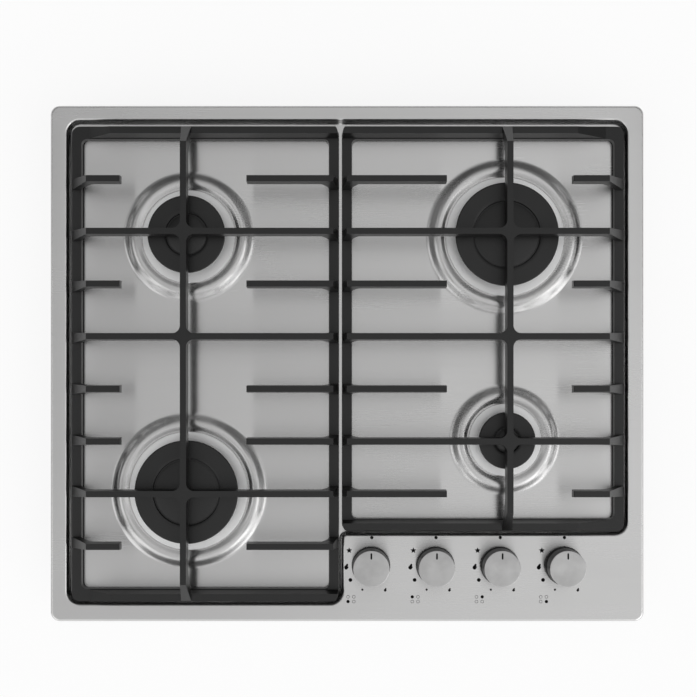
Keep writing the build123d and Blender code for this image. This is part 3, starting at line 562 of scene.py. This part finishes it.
def addStudio():
    world = bpy.data.worlds.new("studio")
    bpy.context.scene.world = world
    world.use_nodes = True
    paint = Paint(world.node_tree)
    ways = paint.node("TexCoord", outlet="Generated")
    parts = paint.node("SeparateXYZ", None, {0: ways})
    across, back, up = [Link(paint, parts.socket.node.outputs[axis]) for axis in "XYZ"]
    behind = paint.step(back, *studioSet["turn"])
    tone = studioSet["front"] - behind * (studioSet["front"] - studioSet["rear"])
    backdrop = 1 - paint.step(up, *studioSet["backdrop"])
    tone = tone + (1 - tone) * backdrop
    for turn, height, reach, soft, strength in studioSet["lamps"]:
        flat = cos(radians(height))
        toward = (flat * cos(radians(turn)), flat * sin(radians(turn)), sin(radians(height)))
        near = paint.node("VectorMath", {"operation": "DOT_PRODUCT"}, {0: ways, 1: toward}, outlet=1)
        tone = tone + paint.step(near, cos(radians(reach + soft)), cos(radians(reach))) * strength
    left, right = studioSet["ceiling"]
    overhead = paint.step(up, *studioSet["ceilingEdge"])
    ceiling = left + paint.step(across, *studioSet["ceilingTurn"]) * (right - left)
    tone = tone * (1 - overhead) + ceiling * overhead
    rays = paint.node("LightPath", outlet="Is Camera Ray")
    through = Link(paint, rays.socket.node.outputs["Is Transmission Ray"])
    seen = rays.compute("MAXIMUM", through)
    background = world.node_tree.nodes["Background"]
    background.inputs["Color"].default_value = (1, 1, 1, 1)
    paint.plug(background.inputs["Strength"], tone * (1 - seen) + seen)


def addFloor():
    bpy.ops.mesh.primitive_plane_add(size=studioSet["floorSize"], location=(0, 0, 0))
    floor = bpy.context.object
    floor.name = "studio_floor"
    material, paint, surface = newFinish("studio_floor", Roughness=studioSet["floorRough"])
    surface["Base Color"].default_value = grey(studioSet["floorTone"])
    tree = material.node_tree
    glow = paint.node("Emission", None, {"Color": (1, 1, 1, 1), "Strength": studioSet["floorLight"]})
    share = paint.node("LightPath", outlet="Is Camera Ray")
    outlets = share.socket.node.outputs
    for kind in ("Is Glossy Ray", "Is Transmission Ray"):
        share = share.compute("MAXIMUM", Link(paint, outlets[kind]))
    share = share * studioSet["floorGlow"]
    shader = Link(paint, tree.nodes["Principled BSDF"].outputs[0])
    mixed = paint.node("MixShader", None, {0: share, 1: shader, 2: glow})
    paint.plug(tree.nodes["Material Output"].inputs["Surface"], mixed)
    floor.data.materials.append(material)


addCamera()
addStudio()
addFloor()
print("camera and studio set")


# The pressed plate, in mm: a folded rim, an L-shaped well and four raised seats.
plateSet = {
    "size": (580.0, 504.0),
    "cornerRadius": 9.0,
    "sheet": 1.0,
    "rimZ": 52.0,
    "floorZ": 44.0,
    "foldHeight": 4.0,
    "edgeRadius": 2.6,
    "well": (-274.0, -235.5, 274.0, 238.0),   # left, front, right, rear of the well's lip
    "panelCorner": (-4.0, -167.5),
    "wellRadius": 13.0,
    "panelRadius": 4.0,
    "lipRadius": 2.2,
    "footRadius": 2.4,
    "wallLean": 14.0,
    "arcSteps": 6,
    "cornerSteps": 10,
    "spindleHole": 5.2,
    "spindleSides": 32,
}


def insetArc(radius, start, end, steps):
    # steps of a face inwards along an arc: angles from level, downwards
    for index in range(steps):
        first = radians(start + (end - start) * index / steps)
        last = radians(start + (end - start) * (index + 1) / steps)
        run, drop = abs(sin(last) - sin(first)) * radius, abs(cos(first) - cos(last)) * radius
        yield run, drop


def addFoldedRim():
    width, depth = plateSet["size"]
    edge = plateSet["edgeRadius"]
    underside = (plateSet["rimZ"] - plateSet["foldHeight"]) * mm
    leaveEdit()
    bpy.ops.mesh.primitive_plane_add(size=1, location=(0, 0, underside))
    rim = begin("rim")
    bpy.ops.transform.resize(value=(width * mm, depth * mm, 1))
    bpy.ops.mesh.bevel(
        offset=plateSet["cornerRadius"] * mm, segments=plateSet["cornerSteps"], affect="VERTICES")
    bpy.ops.mesh.select_all(action="SELECT")
    bpy.ops.mesh.extrude_region_move(
        TRANSFORM_OT_translate={"value": (0, 0, (plateSet["foldHeight"] - edge) * mm)})
    for run, rise in insetArc(edge, 90, 0, plateSet["arcSteps"]):
        bpy.ops.mesh.inset(thickness=run * mm, depth=rise * mm, use_even_offset=True)
    bpy.ops.mesh.delete(type="ONLY_FACE")
    settle(rim)
    pick(rim, "polygons", lambda corners: all(abs(corner.z - underside) < weld for corner in corners))
    bpy.ops.mesh.delete(type="ONLY_FACE")
    bpy.ops.object.mode_set(mode="OBJECT")
    return rim


def addWell():
    left, front, right, rear = plateSet["well"]
    cornerX, cornerY = plateSet["panelCorner"]
    lean = 90 - plateSet["wallLean"]
    lip, foot = plateSet["lipRadius"], plateSet["footRadius"]
    spread = lip * tan(radians(lean / 2))
    left, front, right, rear = left - spread, front - spread, right + spread, rear + spread
    cornerX, cornerY = cornerX + spread, cornerY - spread
    bpy.ops.mesh.primitive_plane_add(
        size=1, location=((left + right) / 2 * mm, (front + rear) / 2 * mm, plateSet["rimZ"] * mm))
    well = begin("well")
    bpy.ops.transform.resize(value=((right - left) * mm, (rear - front) * mm, 1))
    for point, normal in (((cornerX, 0, 0), (1, 0, 0)), ((0, cornerY, 0), (0, 1, 0))):
        bpy.ops.mesh.select_all(action="SELECT")
        bpy.ops.mesh.bisect(plane_co=[value * mm for value in point], plane_no=normal)
    settle(well)
    pick(well, "polygons", lambda corners: min(corner.x for corner in corners) > cornerX * mm - weld
         and max(corner.y for corner in corners) < cornerY * mm + weld)
    bpy.ops.mesh.delete(type="FACE")
    bpy.ops.mesh.select_all(action="SELECT")
    bpy.ops.mesh.dissolve_limited(angle_limit=flatAngle)
    bpy.ops.object.mode_set(mode="OBJECT")
    inner = Vector((cornerX, cornerY, plateSet["rimZ"])) * mm
    outerRadius, innerRadius = plateSet["wellRadius"] + spread, plateSet["panelRadius"] - spread
    for wanted, radius in ((False, outerRadius), (True, innerRadius)):
        makeActive(well)
        bpy.ops.object.mode_set(mode="EDIT")
        bpy.ops.mesh.select_mode(type="VERT")
        bpy.ops.mesh.select_all(action="DESELECT")
        bpy.ops.object.mode_set(mode="OBJECT")
        for vertex in well.data.vertices:
            vertex.select = ((vertex.co - inner).length < weld) == wanted
        bpy.ops.object.mode_set(mode="EDIT")
        bpy.ops.mesh.bevel(offset=radius * mm, segments=plateSet["cornerSteps"], affect="VERTICES")
        bpy.ops.object.mode_set(mode="OBJECT")
    makeActive(well)
    bpy.ops.object.mode_set(mode="EDIT")
    bpy.ops.mesh.select_mode(type="FACE")
    bpy.ops.mesh.select_all(action="SELECT")
    if well.data.polygons[0].normal.z < 0:
        bpy.ops.mesh.flip_normals()
    bends = (lip + foot) * (1 - cos(radians(lean)))
    wall = plateSet["rimZ"] - plateSet["floorZ"] - bends
    steps = plateSet["arcSteps"]
    moves = [*insetArc(lip, 0, lean, steps), (wall / tan(radians(lean)), wall)]
    moves += insetArc(foot, lean, 0, steps)
    for run, drop in moves:
        bpy.ops.mesh.inset(thickness=run * mm, depth=-drop * mm, use_even_offset=True)
    bpy.ops.mesh.delete(type="ONLY_FACE")
    bpy.ops.object.mode_set(mode="OBJECT")
    return well


def roundBox(nodeName):
    # centre and radius of an upright round node, with its lowest and highest z, in mm
    low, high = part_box(nodeName)
    centre = (low + high) / 2 / mm
    return (centre.x, centre.y), (high.x - low.x) / 2 / mm, low.z / mm, high.z / mm


# In mm: radii beyond the cap's, and rises above the well's floor.
seatSet = {
    "foot": 27.6,
    "crest": 15.4,
    "edge": 8.7,
    "lip": 7.6,                   # the cup's flange covers the plate inside this
    "hole": -9.7,
    "beadRise": 5.3,
    "seatRise": 3.8,
    "channel": 0.7,               # depth of the gap round the flange
    "channelDraft": (0.15, 0.2),  # how far its outer and inner walls lean
    "slopeEases": (0.40, 0.45),   # shares of a slope that bend, at its start and end
    "slopeSteps": 20,
    "lapEases": (0.4, 0.2),
    "lapSteps": 12,
    "turns": 144,
}


def easedRise(share, low, high):
    # from 0 to 1 with a straight middle and bends of these shares at its ends
    slope = 1 / (1 - (low + high) / 2)
    if share < low:
        return slope * share * share / (2 * low)
    if share > 1 - high:
        return 1 - slope * (1 - share) ** 2 / (2 * high)
    return slope * (share - low / 2)


def slope(start, end, steps, eases):
    # points of (radius, height) from start to end, without start
    for index in range(1, steps + 1):
        share = index / steps
        rise = easedRise(share, *eases)
        yield start[0] + (end[0] - start[0]) * share, start[1] + (end[1] - start[1]) * rise


def addSeat(name):
    centre, cap, *_ = roundBox(f"burner_cap_{name}")
    foot, crest, edge, lip, hole = [cap + seatSet[key] for key in ("foot", "crest", "edge", "lip", "hole")]
    floor = plateSet["floorZ"]
    bead, seat = floor + seatSet["beadRise"], floor + seatSet["seatRise"]
    channel = seat - seatSet["channel"]
    outerDraft, innerDraft = seatSet["channelDraft"]
    outline = [(foot, floor)]
    outline += slope((foot, floor), (crest, bead), seatSet["slopeSteps"], seatSet["slopeEases"])
    outline += slope((crest, bead), (edge, seat), seatSet["lapSteps"], seatSet["lapEases"])
    outline += [(edge - outerDraft, channel), (lip, channel), (lip - innerDraft, seat), (hole, seat)]
    return turnPiece("seat", outline, centre, seatSet["turns"], closed=False)


def addSpindleHole(name):
    (x, y), *_ = roundBox(f"knob_base_{name}")
    leaveEdit()
    bpy.ops.mesh.primitive_circle_add(
        vertices=plateSet["spindleSides"], radius=plateSet["spindleHole"] * mm, fill_type="NOTHING",
        location=(x * mm, y * mm, plateSet["rimZ"] * mm))
    return settle(bpy.context.object)


def fillLevel(plate, height):
    pick(plate, "edges", lambda ends: all(abs(end.z - height * mm) < weld / 10 for end in ends))
    bpy.ops.mesh.fill(use_beauty=True)
    bpy.ops.object.mode_set(mode="OBJECT")


def addPlate():
    parts = [addFoldedRim(), addWell()] + [addSeat(name) for name in burnerNames]
    parts += [addSpindleHole(name) for name in burnerNames]
    plate = join(parts, "plate_sheet")
    fillLevel(plate, plateSet["floorZ"])
    fillLevel(plate, plateSet["rimZ"])
    weldAll(plate)
    bpy.ops.mesh.normals_make_consistent(inside=False)
    bpy.ops.object.mode_set(mode="OBJECT")
    if max(plate.data.polygons, key=lambda face: face.area).normal.z < 0:
        bpy.ops.object.mode_set(mode="EDIT")
        bpy.ops.mesh.flip_normals()
        bpy.ops.object.mode_set(mode="OBJECT")
    useModifier(plate, "SOLIDIFY", thickness=plateSet["sheet"] * mm, offset=-1, use_even_offset=True)
    layGrain(plate, lambda place, middle: (place.y, -place.x))
    smooth(plate)
    dress(plate, "plate_steel")
    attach(plate, "hob")
    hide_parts("top_plate")
    print("plate made,", len(plate.data.polygons), "faces")


# Edges of what is cast or moulded: width in mm, steps, and the least angle in degrees.
edgeSet = {
    "iron": (0.75, 2, 24.0),
    "knobBase": (0.18, 2, 40.0),
}


def easedCopy(nodeName, name, width, steps, angle):
    # a copy of a node with its doubles merged, flats joined and edges rounded
    piece = nodes[nodeName].copy()
    piece.data = nodes[nodeName].data.copy()
    piece.parent = None
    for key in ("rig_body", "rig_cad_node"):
        if key in piece:
            del piece[key]
    bpy.context.scene.collection.objects.link(piece)
    piece.name = name
    weldAll(piece)
    bpy.ops.mesh.dissolve_limited(angle_limit=flatAngle)
    bpy.ops.object.mode_set(mode="OBJECT")
    useModifier(piece, "BEVEL", width=width * mm, segments=steps, limit_method="ANGLE",
                angle_limit=radians(angle), use_clamp_overlap=True, harden_normals=False)
    smooth(piece)
    return piece


def addGrates():
    for side in ("left", "right"):
        node = f"{side}_grate"
        grate = easedCopy(node, f"{side}_pan_support", *edgeSet["iron"])
        dress(grate, "grate_iron")
        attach(grate, node)
        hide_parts(node)
        print(side, "pan support made,", len(grate.data.polygons), "faces")


# In mm. A flat ring round a groove, and a low dome inside it.
capSet = {
    "edgeRadius": 1.1,
    "edgeSteps": 6,
    "draft": 0.4,
    "shoulder": 3.2,              # width of the soft fall to the groove
    "shoulderDrop": 0.45,
    "shoulderSteps": 5,
    "grooveWidth": 1.7,
    "grooveFloor": 0.6,           # of the width
    "grooveDepth": 2.5,
    "outerBreak": (0.25, 0.25),   # run and drop of the groove's edges
    "innerBreak": (0.3, 0.2),
    "domeEdge": 2.2,              # the dome's edge, below the ring
    "domeTop": 0.3,
    "domeSteps": 10,
    "locatorDepth": 3.0,
    "locatorInset": 11.3,
    "locatorWall": 2.0,
    "turns": 112,
    "sharpAngle": 35,
    "grooves": {"rear_left": 19.5, "rear_right": 31.5, "front_left": 31.5, "front_right": 11.0},
}


def addCap(name):
    centre, radius, lowest, top = roundBox(f"burner_cap_{name}")
    bottom = lowest + capSet["locatorDepth"]
    locator = radius - capSet["locatorInset"]
    inner = locator - capSet["locatorWall"]
    outline = [(0, bottom), (inner, bottom), (inner, lowest), (locator, lowest), (locator, bottom),
               (radius - capSet["draft"], bottom)]
    edge = capSet["edgeRadius"]
    outline += arc((radius - edge, top - edge), edge, 0, 90, capSet["edgeSteps"])
    groove, half = capSet["grooves"][name], capSet["grooveWidth"] / 2
    outerRun, outerDrop = capSet["outerBreak"]
    innerRun, innerDrop = capSet["innerBreak"]
    brink, fall = groove + half + outerRun, capSet["shoulderDrop"]
    for index in range(capSet["shoulderSteps"] + 1):
        share = index / capSet["shoulderSteps"]
        outline.append((brink + capSet["shoulder"] * (1 - share), top - fall * share ** 2))
    floor, floorZ = half * capSet["grooveFloor"], top - capSet["grooveDepth"]
    domeEdge = top - capSet["domeEdge"]
    outline += [(groove + half, top - fall - outerDrop), (groove + floor, floorZ),
                (groove - floor, floorZ), (groove - half, domeEdge - innerDrop)]
    dome, rise = groove - half - innerRun, capSet["domeEdge"] - capSet["domeTop"]
    for index in range(capSet["domeSteps"] + 1):
        share = 1 - index / capSet["domeSteps"]
        outline.append((dome * share, domeEdge + rise * (1 - share ** 2)))
    cap = turnPiece(f"cap_{name}", outline, centre, capSet["turns"])
    smooth(cap, capSet["sharpAngle"])
    dress(cap, "cap_enamel")
    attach(cap, f"cap_{name}")
    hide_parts(f"burner_cap_{name}")


# In mm.
knobSet = {
    "topRadius": 17.4,
    "footRadius": 18.0,
    "footBreak": 0.2,
    "chamfer": 0.5,
    "chamferSteps": 4,
    "wall": 2.0,
    "face": 1.2,
    "faceRings": 8,
    "turns": 96,
    "sharpAngle": 30,
    "grainScale": 0.01,           # of the UV map, for each radian round the axis
    "pointer": (1.7, 6.1),        # width and length
    "pointerInset": 2.4,
    "pointerDepth": 0.4,
    "pointerRise": 0.03,
    "pointerRound": 0.48,         # of the width
    "pointerSteps": 6,
    "pointerBreak": (0.08, 0.05),
}


def addSleeve(name):
    centre, _, low, top = roundBox(f"knob_sleeve_{name}")
    outer, foot, chamfer = knobSet["topRadius"], knobSet["footRadius"], knobSet["chamfer"]
    wall, roof, brim = knobSet["wall"], top - knobSet["face"], knobSet["footBreak"]
    outline = [(0, roof), (outer - wall, roof), (foot - wall, low), (foot - brim, low), (foot, low + brim)]
    outline += arc((outer - chamfer, top - chamfer), chamfer, 0, 90, knobSet["chamferSteps"])
    rings = knobSet["faceRings"]
    outline += [((outer - chamfer) * ring / rings, top) for ring in reversed(range(rings))]
    sleeve = turnPiece(f"sleeve_{name}", outline, centre, knobSet["turns"])

    def roundAxis(place, middle):
        x, y = place.x - centre[0] * mm, place.y - centre[1] * mm
        turn = atan2(middle.y - centre[1] * mm, middle.x - centre[0] * mm)
        if hypot(x, y) > weld:
            turn += (atan2(y, x) - turn + pi) % (2 * pi) - pi
        return hypot(x, y) - place.z, turn * knobSet["grainScale"]

    layGrain(sleeve, roundAxis)
    smooth(sleeve, knobSet["sharpAngle"])
    dress(sleeve, "knob_metal")
    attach(sleeve, f"knob_{name}")
    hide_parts(f"knob_sleeve_{name}")


def addPointer(name):
    width, length = knobSet["pointer"]
    (x, y), _, _, top = roundBox(f"knob_sleeve_{name}")
    y += knobSet["topRadius"] - knobSet["pointerInset"] - length / 2
    depth = knobSet["pointerDepth"]
    leaveEdit()
    bpy.ops.mesh.primitive_plane_add(size=1, location=(x * mm, y * mm, (top - depth) * mm))
    pointer = begin(f"pointer_{name}")
    bpy.ops.transform.resize(value=(width * mm, length * mm, 1))
    bpy.ops.mesh.bevel(
        offset=width * mm * knobSet["pointerRound"], segments=knobSet["pointerSteps"], affect="VERTICES")
    bpy.ops.mesh.select_all(action="SELECT")
    run, drop = knobSet["pointerBreak"]
    rise = depth + knobSet["pointerRise"] - drop
    bpy.ops.mesh.extrude_region_move(TRANSFORM_OT_translate={"value": (0, 0, rise * mm)})
    bpy.ops.mesh.inset(thickness=run * mm, depth=drop * mm)
    settle(pointer)
    dress(pointer, "knob_black")
    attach(pointer, f"knob_{name}")


def addKnobs():
    for name in burnerNames:
        base = easedCopy(f"knob_base_{name}", f"base_{name}", *edgeSet["knobBase"])
        dress(base, "knob_black")
        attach(base, f"knob_{name}")
        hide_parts(f"knob_base_{name}")
        addSleeve(name)
        addPointer(name)
    print("knobs made")


# Printed marks round each knob, in mm from its axis: place, then size.
markSet = {
    "lift": 0.02,
    "thickness": 0.03,
    "sides": 28,
    "offDot": (0.9, 27.0, 1.6),
    "bigDot": (-20.0, -14.4, 1.85),
    "smallDot": (-8.3, -23.9, 1.05),
    "star": (-21.2, 14.4, 3.0),
    "bigFlame": (-24.2, -1.6, 2.1, 5.9),
    "smallFlame": (13.9, -24.1, 1.35, 3.7),
    "hobIcon": (-22.3, -30.9),
    "hobPitch": (5.6, 4.6),
    "ring": (1.6, 0.34),
    # column and row of the burner that a knob turns on
    "filled": {"front_left": (0, 1), "rear_left": (0, 0), "rear_right": (1, 0), "front_right": (1, 1)},
}
starSet = {
    "points": 5,
    "inner": 0.48,
}
# A flame's outline is a round body with bulges: direction and width in degrees, and reach.
# A negative reach is a cleft.
flameSet = {
    "sides": 48,
    "body": 0.92,
    "bulges": [(68, 26, 0.95), (14, 14, 0.30), (36, 9, -0.22)],
    "height": 2.75,           # of the outline, for a half width of 1
    "drop": 0.12,             # of the height, by which the body sits low
}


def disc(x, y, radius, corners=markSet["sides"]):
    leaveEdit()
    height = plateSet["rimZ"] + markSet["lift"]
    bpy.ops.mesh.primitive_circle_add(
        vertices=corners, radius=radius * mm, fill_type="NGON", location=(x * mm, y * mm, height * mm))
    return begin("mark")


def closeMark(piece):
    bpy.ops.mesh.select_all(action="SELECT")
    bpy.ops.mesh.extrude_region_move(TRANSFORM_OT_translate={"value": (0, 0, markSet["thickness"] * mm)})
    bpy.ops.object.mode_set(mode="OBJECT")
    return settle(piece)


def dotMark(x, y, radius):
    return closeMark(disc(x, y, radius))


def starMark(x, y, radius):
    # a spark, with every second corner drawn in
    piece = disc(x, y, radius, 2 * starSet["points"])
    bpy.ops.object.mode_set(mode="OBJECT")
    for vertex in piece.data.vertices:
        vertex.co.xy *= (1.0, starSet["inner"])[vertex.index % 2]
    bpy.ops.object.mode_set(mode="EDIT")
    return closeMark(piece)


def flameMark(x, y, halfWidth, height):
    # a drop that leans to the right, with a second, shorter tongue beside it
    piece = disc(x, y, 1, flameSet["sides"])
    bpy.ops.object.mode_set(mode="OBJECT")
    for vertex in piece.data.vertices:
        turn = degrees(atan2(vertex.co.y, vertex.co.x))
        reach = flameSet["body"]
        for middle, width, bulge in flameSet["bulges"]:
            reach += bulge * exp(-((turn - middle) / width) ** 2)
        vertex.co.x *= reach * halfWidth
        vertex.co.y *= reach * height / flameSet["height"]
        vertex.co.y -= height * flameSet["drop"] * mm
    bpy.ops.object.mode_set(mode="EDIT")
    return closeMark(piece)


def ringMark(x, y, radius, line):
    piece = disc(x, y, radius)
    bpy.ops.mesh.inset(thickness=line * mm)
    bpy.ops.mesh.delete(type="FACE")
    return closeMark(piece)


def addMarks():
    marks = []
    for name in burnerNames:
        (x, y), *_ = roundBox(f"knob_base_{name}")
        for kind in ("offDot", "bigDot", "smallDot"):
            offX, offY, radius = markSet[kind]
            marks.append(dotMark(x + offX, y + offY, radius))
        offX, offY, radius = markSet["star"]
        marks.append(starMark(x + offX, y + offY, radius))
        for kind in ("bigFlame", "smallFlame"):
            offX, offY, halfWidth, height = markSet[kind]
            marks.append(flameMark(x + offX, y + offY, halfWidth, height))
        iconX, iconY = markSet["hobIcon"]
        for column in range(2):
            for row in range(2):
                markX = x + iconX + column * markSet["hobPitch"][0]
                markY = y + iconY - row * markSet["hobPitch"][1]
                if markSet["filled"][name] == (column, row):
                    marks.append(dotMark(markX, markY, markSet["ring"][0]))
                else:
                    marks.append(ringMark(markX, markY, *markSet["ring"]))
    printed = join(marks, "panel_marks")
    dress(printed, "knob_black")
    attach(printed, "hob")
    print("panel marks printed")


addPlate()
addGrates()
for name in burnerNames:
    addCap(name)
print("caps made")
addKnobs()
addMarks()

for name, node in nodes.items():
    if not node.hide_render:
        dress(node, slotOf[name])
print("frame dressed")
